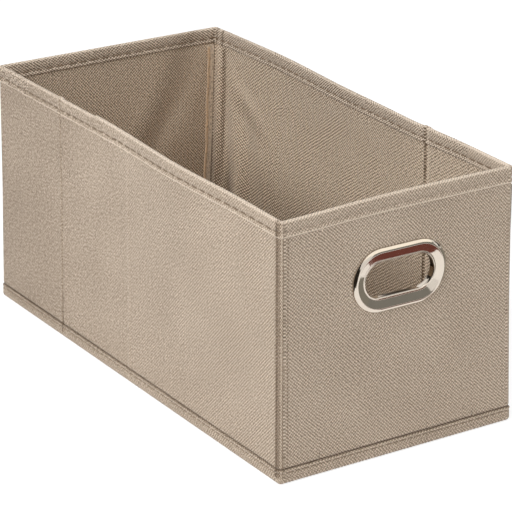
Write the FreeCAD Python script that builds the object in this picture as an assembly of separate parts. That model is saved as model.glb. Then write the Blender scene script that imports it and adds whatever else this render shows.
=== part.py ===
# Open-topped folding storage bin of cloth over board, with one metal eyelet in its front wall.
# Millimetres, +Z up, origin at the middle of the underside, front wall with the eyelet at -Y.
# The bin folds flat: the walls swing round six creases in step, and each long wall tucks a V
# of two quarter panels inwards, the left one at the rear and the right one at the front.
import FreeCAD, Part
import math
import os

# Outside sizes, over the turned hems
width = 150.0
length = 310.0
height = 150.0

# Material thicknesses
cloth = 0.4
wall_board = 1.4
fold_cloth = 0.35
base_board_thickness = 2.0
base_cover_cloth = 0.5
bottom_cloth_thickness = 0.8

# Hem round the rim and band round the foot of the walls, both turned-over cloth
hem_height = 9.5
hem_round = 1.25
band_height = 4.8
band_round = 0.9
wall_foot = 4.2
turned_edge_height = 4.0
turned_edge_round = 2.2
bottom_corner_round = 2.4

# Insert boards in the walls
board_side_inset = 2.0
board_hem_gap = 1.2
board_band_gap = 0.8

# Creases, corners and the loose base board
crease_gap = 0.3
corner_gap = 0.3
base_side_clearance = 2.0
base_corner_round = 6.0

# Sewn corner seams, at the front left and the back right
seam_flap_width = 5.0
seam_flap_thickness = 0.8
seam_corner_gap = 0.4

# Eyelet in the front wall: a flat-sided oval ring with a domed rim
eyelet_below_hem = 19.6
eyelet_straight_half = 12.0
eyelet_outer_radius = 18.0
eyelet_hole_radius = 10.0
eyelet_dome = 1.9
eyelet_tube_wall = 0.9
eyelet_tube_clearance = 0.2
eyelet_lip_reach = 1.3
eyelet_lip_thickness = 0.8
eyelet_lip_flat_share = 0.5
washer_outer_radius = 15.2
washer_thickness = 0.7
washer_bevel = 1.4

# One overrun serves every cut
overrun = 5.0

# Worked out from the sizes above
wall = 2 * fold_cloth + 2 * cloth + wall_board
quarter = length / 4
outer_cloth_at = fold_cloth
board_at = outer_cloth_at + cloth
lining_at = board_at + wall_board
lining_end = lining_at + cloth
hem_foot = height - hem_height
band_top = wall_foot + band_height
cloth_low = wall_foot + band_round
cloth_high = height - hem_round
eyelet_height_up = hem_foot - eyelet_below_hem - eyelet_outer_radius
board_low = band_top + board_band_gap
board_high = hem_foot - board_hem_gap


def vector(x, y, z):
    return FreeCAD.Vector(x, y, z)


def block(low, high):
    """A box between two corners, each given as (along the wall, into the wall, up)."""
    size = [high[axis] - low[axis] for axis in range(3)]
    return Part.makeBox(size[0], size[1], size[2], vector(low[0], low[1], low[2]))


def prism(outline, start, end):
    """A closed face of the (into, up) plane, drawn out along the wall from start to end."""
    face = Part.Face(outline)
    face.translate(vector(start, 0, 0))
    return face.extrude(vector(end - start, 0, 0))


def rounded_strip(low, high, radius, round_top):
    """Cross-section of a turned edge: square at one end, rounded at the other."""
    side = 1 if round_top else -1
    square_at = low if round_top else high
    round_at = high if round_top else low
    lean = radius * (1 - math.sqrt(1 / 2))
    corner = round_at - side * radius
    points = {
        "a": vector(0, 0, square_at),
        "b": vector(0, wall, square_at),
        "c": vector(0, wall, corner),
        "d": vector(0, wall - lean, round_at - side * lean),
        "e": vector(0, wall - radius, round_at),
        "f": vector(0, radius, round_at),
        "g": vector(0, lean, round_at - side * lean),
        "h": vector(0, 0, corner),
    }
    edges = [
        Part.makeLine(points["a"], points["b"]),
        Part.makeLine(points["b"], points["c"]),
        Part.Arc(points["c"], points["d"], points["e"]).toShape(),
        Part.makeLine(points["e"], points["f"]),
        Part.Arc(points["f"], points["g"], points["h"]).toShape(),
        Part.makeLine(points["h"], points["a"]),
    ]
    return Part.Wire(edges)


def turned_edge(start, end, low, high, radius, round_top):
    """Hem or band: folded cloth across the whole wall, grooved for the cloth and the lining."""
    strip = prism(rounded_strip(low, high, radius, round_top), start, end)
    groove_low = low - overrun if round_top else cloth_low
    groove_high = cloth_high if round_top else high + overrun
    for groove_at in (outer_cloth_at, lining_at):
        groove = block(
            (start - overrun, groove_at, groove_low),
            (end + overrun, groove_at + cloth, groove_high),
        )
        strip = strip.cut(groove)
    return strip


def panel(start, end):
    """One stiff wall panel: board between outer cloth and lining, hem above and band below."""
    return {
        "board": block(
            (start + board_side_inset, board_at, board_low),
            (end - board_side_inset, lining_at, board_high),
        ),
        "cloth": block((start, outer_cloth_at, cloth_low), (end, board_at, cloth_high)),
        "lining": block((start, lining_at, cloth_low), (end, lining_end, cloth_high)),
        "hem": turned_edge(start, end, hem_foot, height, hem_round, True),
        "bottom_band": turned_edge(start, end, wall_foot, band_top, band_round, False),
    }


def stadium(radius):
    """Flat-sided oval outline of the eyelet at one distance from its centre line."""
    left = width / 2 - eyelet_straight_half
    right = width / 2 + eyelet_straight_half
    low = eyelet_height_up - radius
    high = eyelet_height_up + radius
    edges = [
        Part.makeLine(vector(left, 0, low), vector(right, 0, low)),
        Part.Arc(
            vector(right, 0, low), vector(right + radius, 0, eyelet_height_up), vector(right, 0, high)
        ).toShape(),
        Part.makeLine(vector(right, 0, high), vector(left, 0, high)),
        Part.Arc(
            vector(left, 0, high), vector(left - radius, 0, eyelet_height_up), vector(left, 0, low)
        ).toShape(),
    ]
    return Part.Wire(edges)


def stadium_prism(radius, into_low, into_high):
    face = Part.Face(stadium(radius))
    face.translate(vector(0, 0, 0))
    return face.extrude(vector(0, into_high - into_low, 0))


def stadium_ring(section):
    """Carry a closed (radius, into) section round the oval: two straight runs, two half turns.

    The section is a function that gives the wire's edges at the right-hand end of the oval.
    """
    left = width / 2 - eyelet_straight_half
    right = width / 2 + eyelet_straight_half
    below = Part.Face(section(right, eyelet_height_up))
    turn_right = below.revolve(vector(right, 0, eyelet_height_up), vector(0, 1, 0), -180)
    ring = turn_right
    turn_left = turn_right.copy()
    turn_left.rotate(vector(width / 2, 0, eyelet_height_up), vector(0, 1, 0), 180)
    run_low = below.extrude(vector(left - right, 0, 0))
    run_high = run_low.copy()
    run_high.rotate(vector(width / 2, 0, eyelet_height_up), vector(0, 1, 0), 180)
    for piece in (run_low, turn_left, run_high):
        ring = ring.fuse(piece)
    return ring.removeSplitter()


def eyelet_section(x, z):
    """Domed flange on the cloth, tube through the wall, and a lip turned out over the washer."""
    tube_end = lining_end + washer_thickness
    lip_end = tube_end + eyelet_lip_thickness
    crest_radius = (eyelet_outer_radius + eyelet_hole_radius) / 2
    tube_outer = eyelet_hole_radius + eyelet_tube_wall
    lip_radius = tube_outer + eyelet_lip_reach
    lip_bevel = (lip_radius - eyelet_hole_radius) * (1 - eyelet_lip_flat_share) / 2

    def at(radius, into):
        return vector(x, into, z - radius)

    edges = [
        Part.Arc(
            at(eyelet_outer_radius, outer_cloth_at),
            at(crest_radius, outer_cloth_at - eyelet_dome),
            at(eyelet_hole_radius, outer_cloth_at),
        ).toShape(),
        Part.makeLine(at(eyelet_hole_radius, outer_cloth_at), at(eyelet_hole_radius, tube_end)),
        Part.makeLine(at(eyelet_hole_radius, tube_end), at(eyelet_hole_radius + lip_bevel, lip_end)),
        Part.makeLine(at(eyelet_hole_radius + lip_bevel, lip_end), at(lip_radius - lip_bevel, lip_end)),
        Part.makeLine(at(lip_radius - lip_bevel, lip_end), at(lip_radius, tube_end)),
        Part.makeLine(at(lip_radius, tube_end), at(tube_outer, tube_end)),
        Part.makeLine(at(tube_outer, tube_end), at(tube_outer, outer_cloth_at)),
        Part.makeLine(at(tube_outer, outer_cloth_at), at(eyelet_outer_radius, outer_cloth_at)),
    ]
    return Part.Wire(edges)


def washer_section(x, z):
    """Thin washer between the lining and the lip, bevelled outside."""
    inner = eyelet_hole_radius + eyelet_tube_wall
    middle = washer_outer_radius - washer_bevel
    washer_end = lining_end + washer_thickness

    def at(radius, into):
        return vector(x, into, z - radius)

    edges = [
        Part.makeLine(at(inner, lining_end), at(inner, washer_end)),
        Part.makeLine(at(inner, washer_end), at(middle, washer_end)),
        Part.makeLine(at(middle, washer_end), at(washer_outer_radius, lining_end)),
        Part.makeLine(at(washer_outer_radius, lining_end), at(inner, lining_end)),
    ]
    return Part.Wire(edges)


def cut_for_eyelet(pieces):
    """The board is die-cut well clear of the tube, and the cloths are cut close to it."""
    tube_outer = eyelet_hole_radius + eyelet_tube_wall
    hole = stadium_prism(tube_outer + eyelet_tube_clearance, -overrun, wall + overrun)
    for name in ("board", "cloth", "lining"):
        pieces[name] = pieces[name].cut(hole)
    return pieces


def seam_flap():
    """Overlocked seam allowance that lies along the corner inside an end wall."""
    start = wall + seam_corner_gap
    return block(
        (start, lining_end, board_low),
        (start + seam_flap_width, lining_end + seam_flap_thickness, board_high),
    )


def stand_up(shape, corner, quarter_turns):
    """Take a wall from its own frame to its side of the bin, anticlockwise from the front."""
    placed = shape.copy()
    placed.rotate(vector(0, 0, 0), vector(0, 0, 1), 90 * quarter_turns)
    placed.translate(vector(corner[0], corner[1], 0))
    return placed


def end_wall():
    return panel(0, width)


def long_wall():
    """Two quarter panels and one half panel, in the order of the distance along the wall."""
    cuts = [0, quarter, 2 * quarter, length]
    panels = []
    for order in range(3):
        start = cuts[order] + (wall + corner_gap if order == 0 else crease_gap)
        end = cuts[order + 1] - (wall + corner_gap if order == 2 else crease_gap)
        panels.append(panel(start, end))
    return panels


def bottom_cloth():
    """Cloth floor whose edge turns up round the foot of the walls, with a rounded outside."""
    tray = Part.makeBox(width, length, turned_edge_height, vector(-width / 2, -length / 2, 0))
    uprights = []
    underside = []
    for edge in tray.Edges:
        ends = [vertex.Point for vertex in edge.Vertexes]
        if abs(ends[0].z - ends[1].z) > turned_edge_height / 2:
            uprights.append(edge)
    tray = tray.makeFillet(bottom_corner_round, uprights)
    for edge in tray.Edges:
        if edge.BoundBox.ZMax < turned_edge_height / 2:
            underside.append(edge)
    tray = tray.makeFillet(turned_edge_round, underside)
    inner_width = width - 2 * wall
    inner_length = length - 2 * wall
    pocket = Part.makeBox(
        inner_width,
        inner_length,
        turned_edge_height + overrun,
        vector(-inner_width / 2, -inner_length / 2, bottom_cloth_thickness),
    )
    return tray.cut(pocket)


def rounded_plate(plate_width, plate_length, radius, low, high):
    plate = Part.makeBox(
        plate_width, plate_length, high - low, vector(-plate_width / 2, -plate_length / 2, low)
    )
    uprights = []
    for edge in plate.Edges:
        ends = [vertex.Point for vertex in edge.Vertexes]
        if abs(ends[0].z - ends[1].z) > (high - low) / 2:
            uprights.append(edge)
    return plate.makeFillet(radius, uprights)


def base_board():
    """Loose stiff floor: a board wrapped in cloth, lying on the bottom cloth."""
    outer_width = width - 2 * wall - 2 * base_side_clearance
    outer_length = length - 2 * wall - 2 * base_side_clearance
    low = bottom_cloth_thickness
    high = low + base_board_thickness + 2 * base_cover_cloth
    core = rounded_plate(
        outer_width - 2 * base_cover_cloth,
        outer_length - 2 * base_cover_cloth,
        base_corner_round - base_cover_cloth,
        low + base_cover_cloth,
        high - base_cover_cloth,
    )
    cover = rounded_plate(outer_width, outer_length, base_corner_round, low, high).cut(core)
    return core, cover


def build_bin():
    """Every piece by the name of its node."""
    nodes = {}
    front_corner = (-width / 2, -length / 2)
    right_corner = (width / 2, -length / 2)
    back_corner = (width / 2, length / 2)
    left_corner = (-width / 2, length / 2)

    front = cut_for_eyelet(end_wall())
    for piece, shape in front.items():
        nodes["front_" + piece] = stand_up(shape, front_corner, 0)
    for piece, shape in end_wall().items():
        nodes["back_" + piece] = stand_up(shape, back_corner, 2)

    long_sides = (
        ("right", right_corner, 1, ("front", "middle", "rear")),
        ("left", left_corner, 3, ("rear", "middle", "front")),
    )
    for side, corner, turns, places in long_sides:
        for place, pieces in zip(places, long_wall()):
            for piece, shape in pieces.items():
                nodes["_".join((side, place, piece))] = stand_up(shape, corner, turns)

    nodes["front_seam_flap"] = stand_up(seam_flap(), front_corner, 0)
    nodes["back_seam_flap"] = stand_up(seam_flap(), back_corner, 2)
    nodes["eyelet"] = stand_up(stadium_ring(eyelet_section), front_corner, 0)
    nodes["eyelet_washer"] = stand_up(stadium_ring(washer_section), front_corner, 0)
    nodes["bottom_cloth"] = bottom_cloth()
    nodes["base_board_core"], nodes["base_board_cover"] = base_board()
    return nodes


def write_parts(nodes):
    os.makedirs("parts", exist_ok=True)
    for name, shape in nodes.items():
        solids = shape.Solids
        whole = solids[0] if len(solids) == 1 else Part.makeCompound(solids)
        whole.exportStep("parts/" + name + ".step")
        print(name, len(solids), whole.isValid(), round(whole.Volume), whole.optimalBoundingBox())


write_parts(build_bin())
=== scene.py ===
# %% [markdown]
# # A folding cloth storage bin
#
# The bin is a box of stiff panels covered in one taupe twill cloth, with a turned hem round
# the rim, a band round the foot and a polished oval eyelet in the front wall. This lesson
# dresses the fixed model of its panels. The walls fold flat, so the cloth is made in pieces
# that each cross one crease.

# %% Start from the frame
import math

import bmesh
import bpy
import numpy as np
from mathutils import Matrix, Vector


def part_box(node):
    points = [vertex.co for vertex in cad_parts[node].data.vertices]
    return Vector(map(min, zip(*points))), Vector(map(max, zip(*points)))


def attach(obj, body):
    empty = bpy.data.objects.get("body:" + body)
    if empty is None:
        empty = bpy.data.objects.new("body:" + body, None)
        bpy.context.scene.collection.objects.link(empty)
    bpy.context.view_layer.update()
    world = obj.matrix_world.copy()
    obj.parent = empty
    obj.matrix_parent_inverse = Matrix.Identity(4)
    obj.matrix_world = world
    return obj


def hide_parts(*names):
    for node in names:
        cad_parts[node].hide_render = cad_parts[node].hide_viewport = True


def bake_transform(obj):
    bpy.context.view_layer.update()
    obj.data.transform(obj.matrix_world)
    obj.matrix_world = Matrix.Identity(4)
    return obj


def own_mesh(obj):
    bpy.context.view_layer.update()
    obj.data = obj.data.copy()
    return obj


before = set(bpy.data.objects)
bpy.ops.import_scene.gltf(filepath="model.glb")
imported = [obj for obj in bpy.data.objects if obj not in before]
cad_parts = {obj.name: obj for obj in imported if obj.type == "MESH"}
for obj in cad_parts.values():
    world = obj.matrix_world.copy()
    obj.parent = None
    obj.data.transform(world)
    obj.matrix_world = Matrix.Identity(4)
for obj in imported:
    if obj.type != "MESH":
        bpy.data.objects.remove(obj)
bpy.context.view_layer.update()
MM = 0.001

# %% [markdown]
# ## Sizes from the frame
#
# Nothing is measured twice: the outside of the bin, the thickness of a wall and the place of
# the hem and the band all come from the boxes of the frame's own nodes. The rim is treated as
# one long road of 920 mm that starts at the front left corner and runs anticlockwise.

# %% Sizes
def corners_of(node_name):
    """The low and the high corner of a node's box, as arrays."""
    return (np.array(corner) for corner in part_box(node_name))


tray_low, tray_high = corners_of("bottom_cloth")
hem_low, hem_high = corners_of("front_hem")
band_low, band_high = corners_of("front_bottom_band")
cloth_low, cloth_high = corners_of("front_cloth")
lining_low, lining_high = corners_of("front_lining")
board_low, board_high = corners_of("front_board")
eyelet_low, eyelet_high = corners_of("eyelet")
washer_low, washer_high = corners_of("eyelet_washer")
flap_low, flap_high = corners_of("front_seam_flap")
cover_low, cover_high = corners_of("base_board_cover")

width = tray_high[0] - tray_low[0]
length = tray_high[1] - tray_low[1]
rim = hem_high[2]
hem_foot = hem_low[2]
wall = hem_high[1] - hem_low[1]
front_face = hem_low[1]
cloth_out = cloth_low[1] - front_face
cloth_in = cloth_high[1] - front_face
lining_out = lining_low[1] - front_face
lining_in = lining_high[1] - front_face
quarter = length / 4
perimeter = 2 * (width + length)
print("wall", round(wall / MM, 2), "mm thick, rim road", round(perimeter / MM), "mm long")

# %% [markdown]
# ## A road round the walls
#
# Every strip of cloth on this bin follows the same road, so the road is a function. It takes
# a distance round the rim, a depth into the wall and a height, all as arrays, and gives the
# points in space. Inside a corner zone the distance turns into an angle, and the depth
# shortens the corner's radius, so the outside of a corner is round and the inside is sharp.

# %% The road
CORNERS = np.array([[-width, -length], [width, -length], [width, length], [-width, length]]) / 2
ALONG = np.array([[1, 0], [0, 1], [-1, 0], [0, -1]], float)
INWARD = np.array([[0, 1], [-1, 0], [0, -1], [1, 0]], float)
WALL_SPAN = np.array([width, length, width, length])
WALL_START = np.array([0, width, width + length, 2 * width + length])
CORNER_ZONE = 3.6 * MM
CORNER_RADIUS = 2.6 * MM
SHARPEST_RADIUS = 0.12 * MM
HEM_STITCHES = 122
STITCH_ABOVE_HEM_FOOT = 2.9 * MM
LEAN = 0.007
FOOT_SHARE = 1.8
CORNER_DIP, DIP_SPREAD = 2.5 * MM, 45 * MM
CORNER_TWIST, TWIST_REACH = 1.6 * MM, 60 * MM
FAR_TWIST = 3.2 * MM
LEFT_START = WALL_START[3]
RIGHT_START = WALL_START[1]
left_mid = LEFT_START + length / 2
left_quarter = LEFT_START + quarter
right_mid = RIGHT_START + length / 2
right_quarter = RIGHT_START + quarter


def smooth_step(value):
    """Rises from 0 to 1 with level ends: three times the square less twice the cube."""
    value = np.clip(value, 0, 1)
    return value * value * (3 - 2 * value)


def hill(value, centre, spread):
    """A bell curve of height 1."""
    return np.exp(-(((value - centre) / spread) ** 2))


def ridges(value, *marks):
    """A sum of bell curves over a distance, each with its own height and its centre and spread in mm."""
    return sum(height * hill(value, centre * MM, spread * MM) for height, centre, spread in marks)


def fading(distance, reach_before, reach_after):
    """1 at a distance of 0, falling with level ends to 0 at the reach on each side."""
    return smooth_step(1 - np.abs(distance) / np.where(distance > 0, reach_after, reach_before))


def locate(around):
    """The wall and the distance along it, and the nearest corner with the signed distance past it."""
    around = np.mod(around, perimeter)
    side = np.clip(np.searchsorted(WALL_START, around, side="right") - 1, 0, 3)
    along = around - WALL_START[side]
    left = WALL_SPAN[side] - along
    at_end = left < along
    corner = np.where(at_end, (side + 1) % 4, side)
    past = np.where(at_end, -left, along)
    return side, along, corner, past


def stand_softly(around, flat, height):
    """Move the points of a straight box to where the soft box in the photo has them.

    The back wall and the front right corner lean in at the rim and out at the foot. The rim
    stands out at the back right corner and sinks at the front left one.
    """
    around = np.mod(around, perimeter)
    _, _, corner, past = locate(around)
    above = 2 * height / rim - 1
    above = np.where(above > 0, above, FOOT_SHARE * above)
    twist = CORNER_TWIST * fading(around - RIGHT_START, TWIST_REACH, quarter)
    spread = FAR_TWIST * fading(around - WALL_START[2], length / 2, width) * height / rim
    low_corner = hill(past * (corner == 0) + width * (corner != 0), 0, DIP_SPREAD)
    return np.stack([
        flat[..., 0] - twist * above + spread,
        front_face + (flat[..., 1] - front_face) * (1 - LEAN * above),
        height - CORNER_DIP * low_corner * (height / rim) ** 4,
    ], axis=-1)


def road(around, depth, height, lift=None):
    """Points at a distance round the rim, a depth into the wall and a height.

    On a straight it is the wall's start plus the distance along it plus the depth inwards. In a
    corner zone it is an arc about a centre that lies a radius inside both walls' depths.
    """
    around, depth, height = np.broadcast_arrays(around, depth, height)
    side, along, corner, past = locate(around)
    straight = CORNERS[side] + ALONG[side] * along[..., None] + INWARD[side] * depth[..., None]
    turn = np.clip((past / CORNER_ZONE + 1) / 2, 0, 1) * np.pi / 2
    before, after = INWARD[corner - 1], INWARD[corner]
    facing = np.cos(turn)[..., None] * before + np.sin(turn)[..., None] * after
    radius = np.maximum(CORNER_RADIUS - depth, SHARPEST_RADIUS)[..., None]
    bent = CORNERS[corner] + (depth[..., None] + radius) * (before + after) - radius * facing
    in_corner = (np.abs(past) < CORNER_ZONE)[..., None]
    outward = np.where(in_corner, -facing, -INWARD[side])
    rise = wall_lift(around, height) if lift is None else np.full(around.shape, float(lift))
    flat = np.where(in_corner, bent, straight) + outward * rise[..., None]
    return stand_softly(around, flat, height)


# %% [markdown]
# ## What the cloth shows along the road
#
# The same road says how the cloth looks at each of its points. The bin is sewn from two
# lengths of cloth, so the slanting weave turns round at two corners. Where the cloth is calm
# the weave is fainter. Light and shade are painted on as well: ridges and edges get painted
# highlights, and seams, creases and folds get painted shade. All this is stored with the
# points, and the cloth's material reads it.

# %% Weave and shade along the road
def cloth_distance(around):
    """Distance along the cut cloth: forwards on the front and right walls, back on the others.

    The bin is sewn from two lengths of cloth with seams at two opposite corners, so the slanting
    weave leans the other way on each side of those seams.
    """
    return perimeter / 2 - np.abs(np.mod(around, perimeter) - perimeter / 2)


def lining_distance(around):
    """Distance along the lining: inside the right wall the weave is drawn out to two thirds."""
    on_right = np.clip(np.mod(around, perimeter), RIGHT_START, WALL_START[2]) - RIGHT_START
    return cloth_distance(around) - 0.34 * on_right


def weave_calm(around, depth):
    """How much the weave fades: most far along the left wall, and below 0 inside the right one."""
    around, depth = np.broadcast_arrays(np.mod(around, perimeter), depth)
    far = (perimeter - around) / length
    faded = np.where(around > perimeter - length, 0.15 + 0.42 * smooth_step(far * 1.3), 0.0)
    inside_right = (around > RIGHT_START) & (around < WALL_START[2]) & (depth > wall / 2)
    return faded - 0.5 * inside_right * smooth_step((around - RIGHT_START) / length * 1.1)


def painted_light_and_shade(around, depth, height):
    """Painted light and shade: above 0 a painted highlight on the rim, edges and ridges, below 0 painted
    shade in seams, stitches, creases and corners.
    """
    around, depth, height = np.broadcast_arrays(np.mod(around, perimeter), depth, height)
    _, _, corner, past = locate(around)
    outside = depth < wall / 2
    inside = ~outside
    sewn = outside * (corner % 2 == 0)
    over_foot = height - hem_foot
    from_far = around - LEFT_START
    upper = smooth_step((height - 8 * MM) / (32 * MM))
    stitched = smooth_step(1.1 + 1.3 * np.cos(2 * math.pi * (around / (perimeter / HEM_STITCHES) - 0.5)))
    stitch_shade = -0.34 + 0.30 * (outside & (around < width))

    # Painted highlight along the round top of the rim, where it faces the light above.
    crown = 0.30 * smooth_step((height - rim + 1.3 * MM) / (0.9 * MM))
    # Outside, a painted highlight on the hem's lower fold; inside, painted shade at the same place.
    lip = np.where(outside, ridges(over_foot, (0.60, 0.4, 0.4)), ridges(over_foot, (-0.22, 0.5, 0.5)))
    # Painted shade of the hem's stitches: dark dashes along the stitch row, faint outside the front wall.
    stitch_line = stitch_shade * stitched * hill(over_foot, STITCH_ABOVE_HEM_FOOT, 0.55 * MM)
    # Painted light and shade along the foot band: faint shade at its stitches, a faint highlight above, dark
    # shade in the groove at its top seam.
    band = ridges(height, (-0.08, 6.5, 0.5), (0.08, 7.8, 0.5), (-0.45, 8.85, 0.55))
    # Painted shade in a narrow band just before each sewn corner.
    edge = -0.28 * sewn * smooth_step((past + 5 * MM) / MM) * smooth_step((MM - past) / (1.5 * MM))
    # Painted shade along the two stitch rows of each sewn corner's seam.
    seam = sewn * ridges(past, (-0.30, -3.9, 0.5), (-0.30, 2.9, 0.5))
    # Painted shade in the inner corners.
    inner_corner = inside * ridges(past, (-0.12, 0, 4.2))
    # Painted shade on the outside towards the far end of the left wall.
    far_panel = -0.09 * outside * (from_far > 0) * smooth_step(1.35 - from_far / (100 * MM))
    # Painted shade in the creases, with a painted highlight beside the crease inside the right wall and a
    # faint one on the left wall's middle ridge.
    crease = ridges(around - left_quarter, (-1, 0, 0.7)) * (0.50 - 0.35 * upper)
    crease = crease + inside * ridges(around - right_quarter, (0.25, -2.4, 1.1), (-0.60, 0, 1.2))
    crease = crease + outside * ridges(around - left_mid, (0.06, 0, 1.2))
    paint = crown + lip + stitch_line + band + edge + seam + inner_corner + far_panel + crease
    return paint + inside * shade_of_folds(around, height)


def shade_of_folds(around, height):
    """Painted light and shade inside the right wall and on the back wall beside it: soft folds near the back
    right corner, painted light towards the front and painted shade low down.
    """
    from_b = WALL_START[2] - around
    low = 1 - height / rim
    pleats = ridges(from_b, (-0.80, 5.6, 0.8), (-0.80, 11.5, 0.9))
    line = ridges(from_b, (-0.75, 13.5 + 2 * low, 1.3)) * smooth_step((0.75 - low) / 0.3)
    corner_shade = smooth_step(low / 0.65) * smooth_step((15 * MM - from_b) / (4 * MM))
    pool = ridges(from_b, (1, 19 + 6 * low, 4), (-0.7, 29 + 8 * low, 4)) * smooth_step((low - 0.45) / 0.3)
    corner_pool = ridges(from_b, (1, 44 + 90 * (low - 0.8), 14)) * smooth_step((low - 0.6) / 0.3)
    across = ridges((low - 0.25) * rim - (from_b - 26 * MM) * 0.54, (1, 0, 4.5), (-1, -10, 5))
    across = across * ridges(from_b, (1, 42, 18))
    shade = np.where(height > hem_foot, pleats, line) + ridges(from_b, (0.10, 8, 2.5))
    shade = shade - 0.35 * corner_shade - 0.50 * pool - 0.42 * corner_pool - 0.22 * across
    lit = 0.08 + 0.10 * smooth_step((from_b - 150 * MM) / (150 * MM))
    shade = (shade + lit - 0.20 * smooth_step((low - 0.42) / 0.25)) * (from_b < length)
    drapes = ridges(-from_b - 85 * MM * low, (1, 20, 8), (-0.6, 2, 7))
    deep = smooth_step((low - 0.3) / 0.5) * smooth_step((from_b + 30 * MM) / (25 * MM))
    return np.where(from_b > 0, shade, (-0.16 * drapes - 0.03 * deep) * (from_b > -width))


def stops(start, end, step=1.5 * MM, extra=()):
    """Distances where a strip has its cross-sections: even steps, with an arc at each corner."""
    even = np.linspace(start, end, int(math.ceil((end - start) / step)) + 1)
    arc = np.append(np.linspace(-0.999, 0.999, 13), [-1.001, 1.001])
    for corner_at in (*WALL_START, *(WALL_START + perimeter)):
        if start < corner_at < end:
            even = even[np.abs(even - corner_at) >= CORNER_ZONE * 1.02]
            even = np.append(even, corner_at + CORNER_ZONE * arc)
    for centre in extra:
        if start < centre < end:
            even = np.append(even, centre + np.linspace(-3, 3, 21) * MM)
    return np.unique(np.round(np.clip(even, start, end), 8))


# %% [markdown]
# ## How the walls really stand
#
# No cloth wall is flat. The front half of the near wall bows outwards at its free rim, each
# crease leaves a groove or a ridge, and the cloth near a corner keeps soft waves from sewing.
# All of it is one height map over the road, so outer cloth, board, lining and hem move
# together and never part. The map fades out at the corners, where the walls hold each other.

# %% Wall shape
CREASES = (right_quarter, right_mid, left_quarter, left_mid)
HEM_JOIN = LEFT_START + length - 192.5 * MM
BOW_CENTRE = LEFT_START + length - 92 * MM
BOW_REACH = 84 * MM
BOW, FAR_BOW, DENT = 3.2 * MM, 3.0 * MM, 1.5 * MM


def wall_lift(around, height):
    """How far the wall stands out of its flat plane, in metres: bows, creases and waves summed."""
    around = np.mod(around, perimeter)
    _, _, _, past = locate(around)
    level = np.clip(height / rim, 0, 1)
    low = 1 - level
    near_bow = BOW * np.cos(np.clip((around - BOW_CENTRE) / BOW_REACH, -1, 1) * np.pi / 2) ** 2
    far_bow = ridges(around - right_mid, (FAR_BOW, 70, 55)) - ridges(around - right_quarter, (DENT, 8, 30))

    foot = 1 - smooth_step((height - 5 * MM) / (5 * MM))
    left_groove = ridges(around - left_quarter, (1, 0, 0.75), (-0.35, 2, 4))
    right_groove = ridges(around - right_quarter, (1, 0, 0.8), (-0.5, 0, 5))
    ridge = ridges(around - left_mid, (1, 0, 1.4), (-0.35, 0, 7))
    creases = ridge * (0.30 - 0.25 * level) - left_groove * (0.85 - 0.25 * level - 1.5 * foot)
    creases = creases - 1.15 * right_groove

    from_b = WALL_START[2] - around
    folds = ridges(from_b / (1 + 1.3 * low), (0.7, 12, 3.2), (-0.9, 19, 5), (0.7, 27, 5), (-0.45, 38, 7))
    drapes = ridges(-from_b - 85 * MM * low, (0.9, 2, 8), (-0.8, 20, 9))
    soft = np.where(from_b > 0, folds * (0.5 + low), drapes) * smooth_step((low - 0.06) / 0.3)
    roll = ridges(from_b, (-1.0, 8.5, 3.0)) * smooth_step((low - 0.05) / 0.05)

    slow = np.sin(around / (47 * MM) + 9 * height) * np.sin(height / (29 * MM) + 0.7)
    quick = np.sin(around / (13 * MM) + 60 * height) * np.sin(height / (17 * MM) - around * 21)
    waves = smooth_step((height - 8 * MM) / (25 * MM)) * (slow * 0.16 + quick * 0.05)
    free = smooth_step((np.abs(past) - CORNER_ZONE) / (14 * MM))
    return ((near_bow + far_bow) * level**1.6 + (creases + 1.3 * soft + waves) * MM) * free + roll * MM


# %% [markdown]
# ## From a grid of points to a mesh
#
# A strip is a grid: cross-sections along the road, points round each section. The helper
# below joins the grid with four-sided faces, closes the ends, and stores a map whose units
# are metres of cloth, so that the weave keeps its scale on every piece and bends with it.

# %% Mesh helpers
def new_object(name, data):
    """An object with its data, linked into the scene."""
    made = bpy.data.objects.new(name, data)
    bpy.context.scene.collection.objects.link(made)
    return made


def finish_mesh(name, points, faces, cloth_map=None, sharp=35, **paint):
    """Put arrays into a mesh, turn its faces outwards and mark the edges that stay crisp."""
    mesh = bpy.data.meshes.new(name)
    mesh.from_pydata(points.reshape(-1, 3).tolist(), [], faces)
    for layer_name, values in paint.items():
        layer = mesh.attributes.new(layer_name, "FLOAT", "POINT")
        layer.data.foreach_set("value", values.astype(np.float32).ravel())
    if cloth_map is not None:
        layer = mesh.uv_layers.new(name="cloth")
        corner_point = np.zeros(len(mesh.loops), np.int32)
        mesh.loops.foreach_get("vertex_index", corner_point)
        every_corner = cloth_map.reshape(-1, 2)[corner_point]
        layer.data.foreach_set("uv", every_corner.astype(np.float32).ravel())
    worker = bmesh.new()
    worker.from_mesh(mesh)
    bmesh.ops.recalc_face_normals(worker, faces=worker.faces)
    worker.to_mesh(mesh)
    worker.free()
    mesh.shade_smooth()
    mesh.set_sharp_from_angle(angle=math.radians(sharp))
    return new_object(name, mesh)


def grid_faces(rows, columns, wrap_rows=False, wrap_columns=False):
    """Four-sided faces between neighbours of a rows by columns grid of point numbers."""
    row_count = rows if wrap_rows else rows - 1
    column_count = columns if wrap_columns else columns - 1
    row, column = np.meshgrid(np.arange(row_count), np.arange(column_count), indexing="ij")
    next_row, next_column = (row + 1) % rows, (column + 1) % columns
    around_face = ((row, column), (next_row, column), (next_row, next_column), (row, next_column))
    return np.stack([a * columns + b for a, b in around_face], axis=-1).reshape(-1, 4).tolist()


def tube_faces(rows, columns):
    """Faces of a grid whose sections are closed, with one face across each end."""
    ends = [list(range(columns)), list(range((rows - 1) * columns, rows * columns))]
    return grid_faces(rows, columns, wrap_columns=True) + ends


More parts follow.
